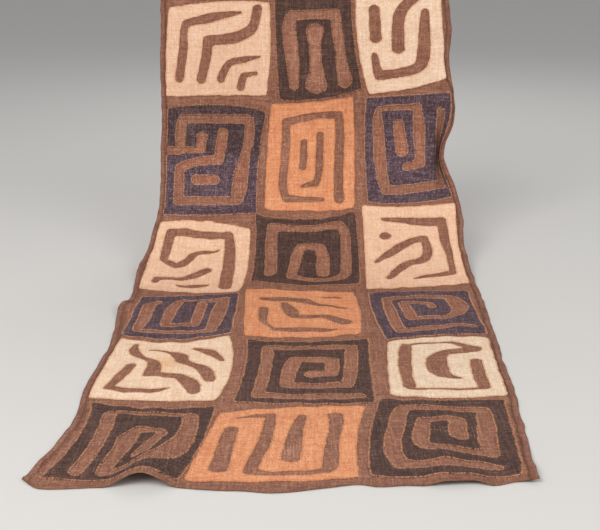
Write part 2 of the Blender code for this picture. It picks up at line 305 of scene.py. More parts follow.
# Plain raffia weave on a flat place in metres: strand tones, streaks, blotches, height
def makeWeaveGroup():
    group = bpy.data.node_groups.new("raffiaWeave", "ShaderNodeTree")
    group.interface.new_socket("Flat", in_out="INPUT", socket_type="NodeSocketVector")
    for name in ("Tone", "Streak", "Mottle", "Fibre", "Fleck", "Dark", "Height"):
        group.interface.new_socket(name, in_out="OUTPUT", socket_type="NodeSocketFloat")
    start, end = group.nodes.new("NodeGroupInput"), group.nodes.new("NodeGroupOutput")
    flat = start.outputs["Flat"]
    stray = addNode(group, "ShaderNodeTexNoise", {"Vector": flat, "Scale": weave["strayScale"], "Detail": 2.0})
    centred = addNode(group, "ShaderNodeVectorMath", {0: stray.outputs["Color"], 1: (0.5, 0.5, 0.5)},
                      operation="SUBTRACT").outputs[0]
    strayed = addNode(group, "ShaderNodeVectorMath", {0: centred, "Scale": 2 * weave["wander"]},
                      operation="SCALE").outputs[0]
    place = addNode(group, "ShaderNodeVectorMath", {0: flat, 1: strayed}, operation="ADD").outputs[0]
    parts = addNode(group, "ShaderNodeSeparateXYZ", {0: place})
    tones, ridges, streaks, flecks = [], [], [], []
    # the long strands, then the cross ones, each noise in a layer of its own
    for mine, other, layers in (("X", "Y", (1.7, 2.9, 4.4)), ("Y", "X", (8.3, 5.1, 6.6))):
        count = addMath(group, "DIVIDE", parts.outputs[mine], weave["strand"])
        own = addMath(group, "MULTIPLY", addMath(group, "FLOOR", count), 3.17)
        wide = addMath(group, "MULTIPLY", parts.outputs[mine], weave["streakAcross"])
        ridges.append(addMath(group, "SINE", addMath(group, "MULTIPLY", count, math.pi)))
        kinds = ((tones, own, "toneAlong", 1.0, 0.5), (streaks, wide, "streakAlong", 2.0, 0.6),
                 (flecks, own, "fleckAlong", 1.0, 0.6))
        for layer, (noises, across, along, detail, roughness) in zip(layers, kinds):
            lengthwise = addMath(group, "MULTIPLY", parts.outputs[other], weave[along])
            spot = addNode(group, "ShaderNodeCombineXYZ", {0: across, 1: lengthwise, 2: layer}).outputs[0]
            noises.append(addNoise(group, spot, 1.0, detail, roughness))
    over = addRange(group, addMath(group, "MULTIPLY", ridges[0], ridges[1]), -0.25, 0.25)
    keep = addMath(group, "SUBTRACT", 1.0, over)
    tone = addMath(group, "ADD", addMath(group, "MULTIPLY", tones[0], over),
                   addMath(group, "MULTIPLY", tones[1], keep))
    rounds = [addMath(group, "ABSOLUTE", ridge) for ridge in ridges]
    height = addMath(group, "ADD", addMath(group, "MULTIPLY", rounds[0], over),
                     addMath(group, "MULTIPLY", rounds[1], keep))
    shown = [addRange(group, streak, *weave["streakFrom"]) for streak in streaks]
    streak = addMath(group, "MAXIMUM", shown[0], shown[1])
    fleck = addMath(group, "MAXIMUM", flecks[0], flecks[1])
    group.links.new(addRange(group, fleck, *weave["fleckFrom"]), end.inputs["Fleck"])
    low = addMath(group, "MINIMUM", flecks[0], flecks[1])
    group.links.new(addRange(group, low, *weave["darkFrom"]), end.inputs["Dark"])
    group.links.new(tone, end.inputs["Tone"])
    group.links.new(streak, end.inputs["Streak"])
    group.links.new(addNoise(group, flat, weave["mottleScale"], 4.0, 0.6), end.inputs["Mottle"])
    fibres = addNoise(group, flat, weave["fibreScale"], 3.0, 0.7)
    group.links.new(addRange(group, fibres, *weave["fibreFrom"]), end.inputs["Fibre"])
    group.links.new(height, end.inputs["Height"])
    return group


weaveGroup = makeWeaveGroup()

# What each dyed cloth looks like: its colours as seen on screen, and how strong each effect is
# where that differs from the usual
usual = {"tone": 0.5, "streak": 0.25, "mottle": 0.4, "fibre": 0.35, "fleck": 0.4, "dark": 0.6,
         "roughness": 0.92, "relief": 0.7, "turned": 0.8}
cloths = {
    "ground": {"base": (146, 98, 78), "deep": (110, 70, 56), "pale": (186, 140, 112), "edge": (150, 102, 80),
               "tone": 0.6, "streak": 0.4, "mottle": 0.3, "fibre": 0.4, "fleck": 0.5, "dark": 0.55,
               "turned": 0.5},
    "edging": {"base": (145, 98, 79), "deep": (96, 62, 52), "pale": (172, 128, 106), "edge": (122, 82, 66),
               "tone": 0.6, "streak": 0.4, "mottle": 0.35, "fibre": 0.5, "fleck": 0.5, "roughness": 0.93,
               "turned": 0.5},
    "cream": {"base": (234, 192, 160), "deep": (214, 160, 124), "pale": (248, 220, 192), "edge": (208, 146, 106),
              "mottle": 0.3, "fibre": 0.15, "roughness": 0.88, "relief": 0.6},
    "black": {"base": (81, 58, 52), "deep": (56, 40, 36), "pale": (136, 102, 86), "edge": (186, 132, 100),
              "fleck": 0.35},
    "indigo": {"base": (85, 65, 69), "deep": (58, 44, 50), "pale": (146, 120, 128), "edge": (204, 150, 114),
               "fleck": 0.6},
    "orange": {"base": (221, 151, 106), "deep": (196, 116, 78), "pale": (242, 184, 142), "edge": (188, 118, 80),
               "streak": 0.45, "fibre": 0.2, "dark": 0.7, "roughness": 0.88, "relief": 0.6},
}


def makeCloth(name):
    look = usual | cloths[name]
    material = bpy.data.materials.new("raffia" + name.capitalize())
    material.use_nodes = True
    tree = material.node_tree
    shader = tree.nodes["Principled BSDF"]
    shader.inputs["Roughness"].default_value = look["roughness"]
    shader.inputs["Specular IOR Level"].default_value = 0.25
    flat = addNode(tree, "ShaderNodeUVMap", uv_map="flat").outputs["UV"]
    weaving = addNode(tree, "ShaderNodeGroup", node_tree=weaveGroup)
    tree.links.new(flat, weaving.inputs["Flat"])
    out = weaving.outputs
    edge = addNode(tree, "ShaderNodeAttribute", attribute_name="edge").outputs["Fac"]
    tint = addNode(tree, "ShaderNodeAttribute", attribute_name="tint").outputs["Color"]
    base, deep, pale, rim = (screenColour(*look[key]) for key in ("base", "deep", "pale", "edge"))
    mottled = addMath(tree, "MULTIPLY", addRange(tree, out["Mottle"], 0.35, 0.68), look["mottle"])
    colour = addMix(tree, mottled, base, deep)
    toned = addMath(tree, "MULTIPLY", addRange(tree, out["Tone"], 0.5, 0.7), look["tone"])
    colour = addMix(tree, toned, colour, deep)
    lit = addMath(tree, "MULTIPLY", addRange(tree, out["Tone"], 0.5, 0.3), look["tone"])
    colour = addMix(tree, lit, colour, pale)
    colour = addMix(tree, addMath(tree, "MULTIPLY", out["Streak"], look["streak"]), colour, deep)
    colour = addMix(tree, addMath(tree, "MULTIPLY", out["Fibre"], look["fibre"]), colour, pale)
    colour = addMix(tree, addMath(tree, "MULTIPLY", out["Dark"], look["dark"]), colour, deep)
    colour = addMix(tree, addMath(tree, "MULTIPLY", out["Fleck"], look["fleck"]), colour, pale)
    turned = addRange(tree, edge, 0.0036, 0.0018)  # the worn, turned edge
    broken = addRange(tree, addNoise(tree, flat, 260.0, 2.0), 0.35, 0.6)
    worn = addMath(tree, "MULTIPLY", addMath(tree, "MULTIPLY", turned, look["turned"]), broken)
    colour = addMix(tree, worn, colour, rim)
    # the tint attribute multiplies in each piece's own tones and stains, and painted shade in the bend at the
    # right side and beside the ground's seams and hem
    colour = addMix(tree, 1.0, colour, tint, "MULTIPLY")
    tree.links.new(colour, shader.inputs["Base Color"])
    relief = {"Strength": look["relief"], "Distance": 0.0005, "Height": out["Height"]}
    bump = addNode(tree, "ShaderNodeBump", relief)
    tree.links.new(bump.outputs["Normal"], shader.inputs["Normal"])
    return material


clothMaterials = {name: makeCloth(name) for name in cloths}


def makeThread(name, colour, deep):
    material = bpy.data.materials.new(name)
    material.use_nodes = True
    tree = material.node_tree
    shader = tree.nodes["Principled BSDF"]
    shader.inputs["Roughness"].default_value = 0.8
    flat = addNode(tree, "ShaderNodeUVMap", uv_map="flat").outputs["UV"]
    spread = addRange(tree, addNoise(tree, flat, 400.0, 2.0), 0.35, 0.65)
    tree.links.new(addMix(tree, spread, screenColour(*colour), screenColour(*deep)), shader.inputs["Base Color"])
    fibres = addNoise(tree, flat, 2500.0, 2.0)
    bump = addNode(tree, "ShaderNodeBump", {"Strength": 0.4, "Distance": 0.0003, "Height": fibres})
    tree.links.new(bump.outputs["Normal"], shader.inputs["Normal"])
    return material


threads = {
    "tan": makeThread("threadTan", (228, 168, 126), (180, 120, 84)),
    "cream": makeThread("threadCream", (226, 180, 138), (180, 126, 88)),
}

# The ground cloth
ground = {
    "columns": (105, 36),  # across most of the cloth, and across its last tenth, where it curls
    "rows": 268,
    "back": 0.0,
    "front": 0.0012,
    "edgeRound": 0.0004,
    "hemWidth": 0.011,
    "hemRise": 0.0006,
    "hemFade": 0.030,
    "sideWobble": 0.0006,
}


# The cloth's two sides at a length, with their small hand-cut unevenness
def sidesAt(t):
    wobble = [ground["sideWobble"] * softNoise(t, t * 0, 0.034, seed) for seed in (21, 22)]
    return onCurve(sideRows, 1, t) + wobble[0], onCurve(sideRows, 2, t) + wobble[1]


# How far a place lies inside the left and the right edging strip's inner line
def insideEdging(x, t):
    left, right = sidesAt(t)
    return x - left - onCurve(edgingRows, 1, t), right - onCurve(edgingRows, 2, t) - x


# A flat place from shares across and along the cloth, with its hem on its curve
def groundPlace(across, along):
    t = along * drape["clothLength"]
    left, right = sidesAt(t)
    x = left + across * (right - left)
    return x, t + onCurve(hemRows, 1, x) * (1 - smoothStep(t / ground["hemFade"]))


# The patches, in millimetres: row, column, cloth, the corners of the near and the far edge, and
# how far each edge bows at its middle: near and far (+ towards the top), left and right (+ to the right)
patchRows = [
    (1, "left", "cream", (-295, 1320), (-70, 1320), (-280, 1515), (-60, 1525), (3, 8, -3, 6)),
    (1, "middle", "black", (-42, 1311), (148, 1337), (-52, 1545), (118, 1545), (-9, 0, -1, -6)),
    (1, "right", "cream", (161, 1324), (333, 1362), (128, 1553), (310, 1553), (-6, 0, -12, 0)),
    (2, "left", "indigo", (-300, 1043), (-89, 1049), (-293, 1296), (-67, 1287), (-4, 13, -5, -9)),
    (2, "middle", "orange", (-74, 1058), (128, 1061), (-59, 1303), (125, 1321), (-8, -3, -3, 4)),
    (2, "right", "indigo", (158, 1076), (352, 1088), (153, 1318), (346, 1333), (-10, 0, -4, 0)),
    (3, "left", "cream", (-329, 793), (-117, 773), (-305, 1026), (-104, 1007), (-18, 11, -5, 5)),
    (3, "middle", "black", (-99, 823), (132, 819), (-95, 1050), (130, 1058), (-14, -22, 4, 5)),
    (3, "right", "cream", (142, 788), (361, 820), (145, 1070), (355, 1075), (-4, -7, 3, -3)),
    (4, "left", "indigo", (-322, 534), (-119, 533), (-314, 740), (-116, 763), (-23, -5, 2, 1)),
    (4, "middle", "orange", (-97, 532), (117, 541), (-105, 777), (114, 765), (-15, 3, 0, 7)),
    (4, "right", "indigo", (161, 509), (355, 538), (144, 763), (351, 772), (9, 7, -6, -5)),
    (5, "left", "cream", (-334, 268), (-127, 257), (-319, 520), (-122, 523), (-6, -27, 0, 16)),
    (5, "middle", "black", (-101, 253), (126, 248), (-91, 512), (131, 518), (-7, -14, 8, -2)),
    (5, "right", "cream", (150, 279), (338, 279), (163, 500), (347, 521), (-13, 13, -2, -1)),
    (6, "left", "black", (-350, 12), (-158, 3), (-322, 252), (-124, 238), (-2, -16, 16, 7)),
    (6, "middle", "orange", (-151, 8), (87, 16), (-117, 212), (108, 236), (-8, 8, -1, -8)),
    (6, "right", "black", (101, 19), (312, 20), (133, 264), (329, 262), (-6, -4, -9, 1)),
]

# The cut-out motifs, charted one by one. Each stroke is a row of (across, along, half width) in tenths
# of its patch, from the left and from the near edge
motifs = {
    (1, "left"): [
        [(1.4, 2.0, .45), (1.7, 5.4, .47), (1.6, 7.1, .36), (1.8, 8.0, .34), (4.4, 8.4, .5), (7.1, 8.8, .12)],
        [(3.5, 1.8, .48), (3.9, 4.2, .5), (4.0, 5.9, .5), (5.9, 6.0, .55), (7.4, 6.4, .55), (8.5, 7.5, .5),
         (8.7, 9.2, .45)],
        [(5.4, 1.8, .42), (5.8, 3.1, .4), (6.2, 3.6, .3), (7.4, 3.8, .38), (8.9, 4.2, .12)],
        [(7.4, .9, .4), (7.5, 1.8, .4), (7.7, 2.2, .3), (8.7, 2.4, .2)],
    ],
    (1, "middle"): [
        [(2.0, 1.5, .4), (2.1, 3.3, .55), (1.9, 5.8, .65), (1.8, 7.2, .6), (2.3, 8.0, .4), (5.2, 8.1, .35),
         (7.8, 8.0, .45), (8.0, 5.9, .42), (8.0, 3.6, .42), (8.1, 1.4, .65)],
        [(5.1, 6.4, .8), (5.0, 5.3, .5), (4.9, 3.5, .52), (4.9, 2.6, .6), (4.7, 1.6, 1.0)],
    ],
    (1, "right"): [
        [(2.2, 8.0, .6), (2.2, 5.5, .65)],
        [(7.2, 9.3, .45), (5.6, 8.3, .6), (4.9, 7.0, .65), (4.8, 5.5, .7), (4.7, 4.3, .7)],
        [(1.8, 3.7, .3), (1.8, 2.5, .5), (1.9, 1.7, .5), (4.0, 1.7, .5), (6.3, 1.8, .5), (7.3, 2.3, .7),
         (7.7, 4.0, .7), (7.9, 6.0, .6), (8.1, 7.6, .4)],
    ],
    (2, "left"): [
        [(.2, 6.1, .3), (1.6, 6.0, .3), (1.6, 7.3, .43), (1.6, 8.3, .43), (1.8, 8.8, .39), (4.6, 8.7, .33),
         (8.4, 8.9, .35), (8.7, 7.5, .43), (8.5, 5.9, .3), (8.2, 4.1, .65), (8.0, 2.2, .65), (7.9, 1.4, .35),
         (4.7, 1.4, .37), (1.6, 1.45, .39), (1.7, 3.0, .39), (1.7, 4.4, .39), (2.6, 4.85, .34), (4.4, 5.05, .34),
         (5.75, 5.15, .37), (5.85, 6.3, .42), (5.95, 7.5, .4)],
        [(1.6, 6.05, .28), (4.0, 5.95, .2)],
        [(3.8, 6.1, .35), (3.85, 7.1, .42)],
        [(3.5, 3.35, .4), (5.4, 3.35, .4)],
    ],
    (2, "middle"): [
        [(6.4, 1.1, .2), (4.5, 1.1, .3), (2.4, 1.2, .35), (1.9, 2.2, .4), (2.0, 3.7, .4), (2.1, 5.6, .42),
         (2.1, 7.5, .4), (2.0, 8.3, .38), (5.5, 8.8, .32), (8.2, 8.6, .38), (8.3, 7.2, .45), (8.2, 4.5, .45),
         (8.1, 2.7, .45), (8.3, 1.1, .5)],
        [(6.0, 7.0, .32), (6.0, 4.8, .38), (5.9, 3.3, .36), (5.6, 2.6, .3), (4.1, 2.4, .15)],
        [(4.2, 6.4, .3), (4.2, 5.3, .35), (4.1, 4.2, .35)],
    ],
    (2, "right"): [
        [(8.75, 8.3, .28), (8.75, 7.0, .4), (8.7, 5.0, .38), (8.8, 3.0, .35), (8.8, 1.5, .4), (5.0, 1.4, .4),
         (2.3, 1.4, .45), (1.9, 2.8, .5), (1.8, 4.7, .55), (1.7, 6.6, .5), (1.5, 8.0, .4), (1.7, 8.85, .18),
         (4.2, 8.9, .17), (6.1, 8.85, .3), (6.3, 7.0, .55), (6.35, 5.1, .45), (6.35, 3.7, .4), (4.8, 3.5, .32)],
        [(4.0, 7.3, .48), (4.2, 5.8, .5), (4.4, 5.0, .55)],
    ],
    (3, "left"): [
        [(8.3, 1.3, .6), (8.1, 5.0, .6), (7.9, 8.3, .45), (7.7, 8.8, .4), (4.8, 8.5, .46), (3.0, 8.8, .46),
         (1.5, 8.7, .45), (1.5, 7.0, .46), (1.5, 5.5, .4)],
        [(1.5, 5.4, .28), (2.9, 4.65, .42), (3.8, 5.2, .45), (4.3, 6.3, .35), (5.0, 6.6, .22), (6.3, 6.7, .18),
         (6.9, 7.0, .06)],
        [(1.4, 1.9, .35), (1.5, 2.5, .35), (2.6, 2.75, .26), (3.8, 2.6, .32), (4.9, 3.3, .55), (6.1, 4.3, .4)],
        [(3.6, 1.6, .12), (4.7, 1.15, .36), (5.9, 1.5, .45), (6.5, 1.75, .2)],
    ],
    (3, "middle"): [
        [(1.7, 2.0, .48), (1.6, 5.6, .48), (1.6, 7.9, .46), (1.7, 8.8, .38), (3.2, 8.7, .3), (4.8, 8.75, .28),
         (6.7, 8.9, .28), (8.3, 8.9, .32), (8.8, 8.0, .38), (8.7, 5.7, .38), (8.7, 3.3, .4), (8.6, 1.7, .4),
         (7.4, 1.1, .24), (5.5, 1.2, .24), (3.6, 1.7, .34), (3.8, 3.6, .4), (4.0, 5.4, .42), (4.4, 6.4, .34),
         (5.4, 6.6, .3), (6.3, 6.4, .38), (6.5, 5.0, .52), (6.5, 3.8, .54), (6.5, 2.5, .52)],
    ],
    (3, "right"): [
        [(2.1, 8.8, .15), (5.2, 8.55, .35), (6.6, 8.4, .45), (8.4, 8.3, .4), (8.5, 7.3, .42), (8.6, 6.0, .42),
         (8.85, 4.0, .25), (8.8, 2.5, .27), (8.7, 2.05, .32), (6.3, 1.85, .27), (4.8, 1.6, .1)],
        [(1.9, 7.1, .1), (2.3, 7.1, .55), (2.7, 7.1, .1)],
        [(1.1, 4.2, .15), (2.5, 5.1, .4), (4.2, 6.2, .4), (5.6, 6.7, .3), (6.4, 6.6, .35), (6.7, 5.7, .4),
         (6.5, 4.7, .4), (6.0, 4.1, .4), (4.6, 4.0, .3), (3.4, 3.2, .45), (2.3, 1.9, .25)],
    ],
    (4, "left"): [
        [(2.1, 8.4, .2), (1.4, 7.6, .4), (1.35, 6.0, .5), (1.3, 4.3, .5), (1.2, 2.2, .45), (1.15, 1.5, .25),
         (3.4, 1.5, .25), (5.8, 1.4, .27), (8.0, 1.3, .4), (8.2, 3.2, .55), (8.3, 5.8, .65), (8.5, 8.5, .5),
         (6.3, 8.5, .15), (4.4, 8.8, .17), (3.8, 7.8, .45), (3.55, 5.6, .45), (3.5, 3.1, .35), (5.0, 3.0, .28),
         (6.3, 3.1, .38), (6.4, 5.2, .42), (6.45, 7.7, .38)],
    ],
    (4, "middle"): [
        [(1.7, 7.6, .42), (2.9, 7.95, .52), (4.2, 8.0, .45), (5.3, 7.7, .55), (5.9, 7.2, .42), (6.7, 6.7, .25),
         (7.9, 6.4, .22), (8.8, 6.0, .2)],
        [(7.1, 8.6, .15), (7.9, 8.5, .3), (8.5, 8.4, .2)],
        [(3.5, 7.0, .35), (3.9, 5.4, .72), (4.3, 4.2, .45), (5.4, 4.1, .4), (6.2, 4.3, .45), (7.3, 4.0, .55),
         (8.1, 3.2, .58), (8.7, 2.7, .5)],
        [(1.6, 5.7, .42), (1.6, 3.9, .4), (1.7, 2.6, .25), (2.5, 1.7, .1)],
        [(2.6, 1.6, .3), (3.8, 1.5, .48), (6.5, 1.4, .48), (7.9, 1.3, .15)],
    ],
    (4, "right"): [
        [(9.0, 1.7, .12), (8.3, 2.1, .22), (6.5, 1.75, .3), (4.2, 1.5, .35), (1.75, 1.4, .38), (1.75, 4.2, .46),
         (1.75, 6.6, .42), (1.65, 8.3, .3), (3.1, 8.5, .3), (5.9, 8.6, .3), (8.0, 8.3, .5), (8.6, 6.9, .8),
         (8.5, 5.3, .65), (7.4, 3.8, .3), (5.1, 3.7, .27), (3.5, 3.8, .4), (3.4, 5.6, .5), (3.2, 7.1, .3),
         (4.7, 7.2, .22), (5.8, 6.9, .25), (5.9, 6.1, .25)],
    ],
    (5, "left"): [
        [(2.05, 5.4, .38), (1.7, 3.6, .4), (1.25, 1.7, .34), (3.4, 1.3, .38), (4.9, 1.6, .36), (5.7, 1.9, .14)],
        [(1.7, 9.2, .2), (1.6, 8.1, .42), (2.4, 7.1, .32), (3.2, 6.8, .2), (3.9, 6.1, .55), (3.9, 4.3, .58),
         (5.3, 4.1, .36), (6.3, 3.9, .4), (7.2, 2.8, .68), (7.8, 1.5, .45)],
        [(3.1, 8.4, .1), (4.8, 8.3, .2), (5.8, 7.4, .58), (6.0, 6.4, .45), (6.9, 5.9, .28), (7.9, 5.0, .55),
         (8.5, 3.3, .45)],
        [(6.9, 8.6, .2), (7.8, 8.1, .42), (8.6, 7.2, .4), (9.1, 6.2, .2)],
    ],
    (5, "middle"): [
        [(8.9, 1.0, .32), (4.4, 1.0, .32), (1.6, 1.05, .33), (1.6, 2.3, .36), (1.65, 4.6, .34), (1.7, 6.2, .32),
         (1.7, 7.9, .36), (1.7, 8.7, .32), (4.2, 8.8, .28), (6.5, 8.9, .28), (8.5, 8.7, .36), (8.5, 7.5, .4),
         (8.4, 5.4, .4), (8.2, 3.4, .38), (8.0, 2.7, .36), (5.7, 2.6, .34), (3.5, 2.7, .36), (3.5, 4.3, .42),
         (3.7, 5.9, .5), (4.0, 6.8, .4), (5.3, 6.9, .35), (6.9, 6.6, .4), (6.9, 5.1, .42), (6.8, 4.5, .42),
         (5.3, 4.4, .44)],
    ],
    (5, "right"): [
        [(1.8, 8.8, .45), (1.7, 7.6, .6), (1.6, 6.4, .5), (1.6, 5.0, .6), (1.6, 3.6, .45), (1.75, 1.7, .5)],
        [(1.8, 8.9, .18), (4.2, 9.0, .16), (6.2, 9.0, .2), (7.3, 8.4, .5), (8.4, 7.9, .6)],
        [(8.4, 7.5, .45), (7.4, 7.5, .5), (6.0, 7.3, .45), (4.9, 6.9, .6), (4.4, 5.4, 1.0), (4.6, 4.0, .85),
         (5.3, 3.2, .45), (6.3, 2.9, .15)],
        [(1.7, 1.25, .2), (4.7, 1.3, .15), (7.9, 1.2, .2)],
        [(8.2, 5.6, .5), (8.1, 3.4, .56), (8.2, 1.4, .5)],
    ],
    (6, "left"): [
        [(1.7, 8.6, .4), (1.8, 6.5, .4), (1.8, 4.7, .4), (2.0, 2.9, .4), (2.1, 1.0, .42)],
        [(2.3, 9.0, .12), (4.5, 9.15, .16), (7.2, 8.9, .2)],
        [(8.2, 8.5, .5), (8.5, 6.5, .5), (8.5, 4.7, .6), (8.4, 3.5, .65), (7.9, 2.3, .6), (7.2, 1.6, .4),
         (6.2, 1.4, .3), (5.2, 1.1, .35), (4.2, 1.0, .4), (3.9, 1.6, .4), (3.9, 2.9, .45), (4.0, 4.5, .55),
         (3.9, 5.8, .6), (4.3, 6.6, .35), (5.2, 6.7, .25), (6.1, 6.6, .25), (6.5, 6.0, .3), (6.5, 5.1, .4),
         (6.1, 4.0, .6), (6.0, 2.9, .55)],
    ],
    (6, "middle"): [
        [(1.4, 7.0, .5), (1.6, 4.1, .55), (1.7, 1.6, .6)],
        [(1.4, 8.8, .08), (2.6, 9.0, .2), (3.7, 8.9, .35), (3.9, 7.6, .4), (4.0, 4.7, .45), (3.7, 2.5, .42),
         (3.6, 1.3, .4), (4.5, 1.0, .28), (6.5, .9, .25), (7.9, 1.0, .25), (8.4, 1.3, .5), (8.4, 3.6, .5),
         (8.4, 5.6, .4), (8.5, 6.9, .45), (8.2, 8.5, .55)],
        [(5.9, 8.5, .35), (5.8, 7.2, .42), (5.9, 5.4, .55), (5.9, 3.9, .6), (5.9, 2.8, .58)],
    ],
    (6, "right"): [
        [(8.5, 1.0, .2), (7.1, 1.3, .42), (5.4, 1.4, .4), (3.8, 1.3, .4), (2.1, 1.5, .45), (1.6, 2.8, .5),
         (1.6, 4.4, .5), (1.8, 6.1, .48), (1.8, 7.9, .48), (2.1, 8.8, .35), (3.6, 8.9, .25), (6.4, 8.6, .28),
         (8.1, 8.4, .4), (8.2, 7.0, .52), (8.1, 4.9, .56), (8.1, 2.8, .5), (7.1, 2.9, .3), (5.9, 3.2, .3),
         (4.3, 3.2, .35), (3.5, 3.8, .4), (3.5, 4.9, .5), (3.6, 6.1, .42), (3.7, 7.0, .35), (4.6, 7.3, .25),
         (5.5, 7.4, .25), (6.1, 7.0, .5), (6.1, 5.0, .56)],
    ],
}

patchLook = {
    "pitch": 0.0032,  # size of the faces
    "finePitch": 0.0022,  # where the cloth bends sharply
    "edgingClear": 0.0012,  # bare ground between a patch and the edging strip
    "cornerRound": 0.006,
    "wobble": (0.0006, 0.034, 0.0004, 0.010),  # two sizes of hand-cut waver: depth and length
    "squareEnd": 0.7,  # how far a cut-out runs past the end of its chart line, in half widths
    "strokeRound": 0.0050,
    "bendRound": 0.0120,
    "sharpBend": 0.6,  # bends sharper than this keep a square outer corner
    "squareBend": 0.85,
    "lift": 0.00135,  # the underside, just over the ground cloth
    "edgeHeight": 0.0021,  # where the turned edge meets its wall
    "rimHeight": 0.0027,
    "topHeight": 0.0022,
    "rimIn": 0.0012,
    "turnIn": 0.0042,
}


# A flat place from shares across and along a patch whose edges bow
def bowed(u, v, corners, bows):
    nearLeft, nearRight, farLeft, farRight = (np.array(c) * mm for c in corners)
    near, far, left, right = (b * mm for b in bows)
    archU, archV = 4 * u * (1 - u), 4 * v * (1 - v)
    x = (nearLeft[0] * (1 - u) + nearRight[0] * u) * (1 - v) + (farLeft[0] * (1 - u) + farRight[0] * u) * v
    t = (nearLeft[1] * (1 - u) + nearRight[1] * u) * (1 - v) + (farLeft[1] * (1 - u) + farRight[1] * u) * v
    return x + (left * (1 - u) + right * u) * archV, t + (near * (1 - v) + far * v) * archU


# The smaller of two distances, rounded where they meet
def softest(a, b, reach):
    h = np.maximum(reach - np.abs(a - b), 0.0) / reach
    return np.minimum(a, b) - h * h * reach / 4


# How sharply a stroke turns at a point: 0 running straight on, 1 at a square corner
def sharpness(before, here, after):
    first, second = Vector(here[:2]) - Vector(before[:2]), Vector(after[:2]) - Vector(here[:2])
    return min(first.angle(second) / (math.pi / 2), 1.0)


# The stroke with each gentle bend cut twice, by a share of its runs and never more than this
def roundBends(stroke, longest):
    for reach in (longest, longest / 2):
        points = [stroke[0]]
        for before, here, after in zip(stroke[:-2], stroke[1:-1], stroke[2:]):
            if sharpness(before, here, after) > patchLook["sharpBend"]:
                points.append(here)
                continue
            for other in (before, after):
                share = min(0.3, reach / math.dist(here[:2], other[:2]))
                points.append(tuple(a + (b - a) * share for a, b in zip(here, other)))
        stroke = points + [stroke[-1]]
    return stroke


# Distance outside a stroke of changing width, below 0 inside it. Its ends and sharp bends are square
def strokeDistance(x, t, stroke):
    nearest = np.full(np.shape(x), 9.0)
    past = [patchLook["squareEnd"]]
    for points in zip(stroke[:-2], stroke[1:-1], stroke[2:]):
        turn = sharpness(*points)
        past.append(patchLook["squareBend"] * turn if turn > patchLook["sharpBend"] else 0.0)
    past.append(patchLook["squareEnd"])
    for k, ((ax, at, ah), (bx, bt, bh)) in enumerate(zip(stroke[:-1], stroke[1:])):
        run = math.hypot(bx - ax, bt - at)
        along = ((x - ax) * (bx - ax) + (t - at) * (bt - at)) / run
        across = np.abs((x - ax) * (bt - at) - (t - at) * (bx - ax)) / run
        share = np.clip(along / run, 0.0, 1.0)
        half = ah + share * (bh - ah)
        nearest = np.minimum(nearest, np.hypot(np.maximum(np.maximum(-along, along - run), 0), across) - half)
        before, after = -along - past[k] * ah, along - run - past[k + 1] * bh
        corner = np.minimum(patchLook["strokeRound"], 0.8 * half)
        overPast, overSide = np.maximum(before, after) + corner, across - half + corner
        away = np.hypot(np.maximum(overPast, 0), np.maximum(overSide, 0)) - corner
        nearest = np.minimum(nearest, away + np.minimum(np.maximum(overPast, overSide), 0))
    return nearest


# How far each place is inside the patch's cloth: below 0 outside it and in its cut-outs
def patchField(row, column, corners, bows, u, v):
    x, t = bowed(u, v, corners, bows)
    width = (corners[1][0] - corners[0][0]) * mm
    length = (corners[2][1] - corners[0][1]) * mm
    rounding = patchLook["cornerRound"]
    inside = softest(u * width, (1 - u) * width, rounding)
    inside = softest(inside, softest(v * length, (1 - v) * length, rounding), rounding)
    for stroke in motifs[row, column]:
        placed = []
        for across, along, half in stroke:
            px, pt = bowed(across / 10, along / 10, corners, bows)
            placed.append((px, pt, half / 10 * (width + length) / 2))
        inside = np.minimum(inside, strokeDistance(x, t, roundBends(placed, patchLook["bendRound"])))
    depth, wave, fineDepth, fineWave = patchLook["wobble"]
    inside = inside + depth * softNoise(x, t, wave, row) + fineDepth * softNoise(x, t, fineWave, row + 40)
    inside = np.minimum(inside, np.minimum(*insideEdging(x, t)) - patchLook["edgingClear"])
    return x, t, inside


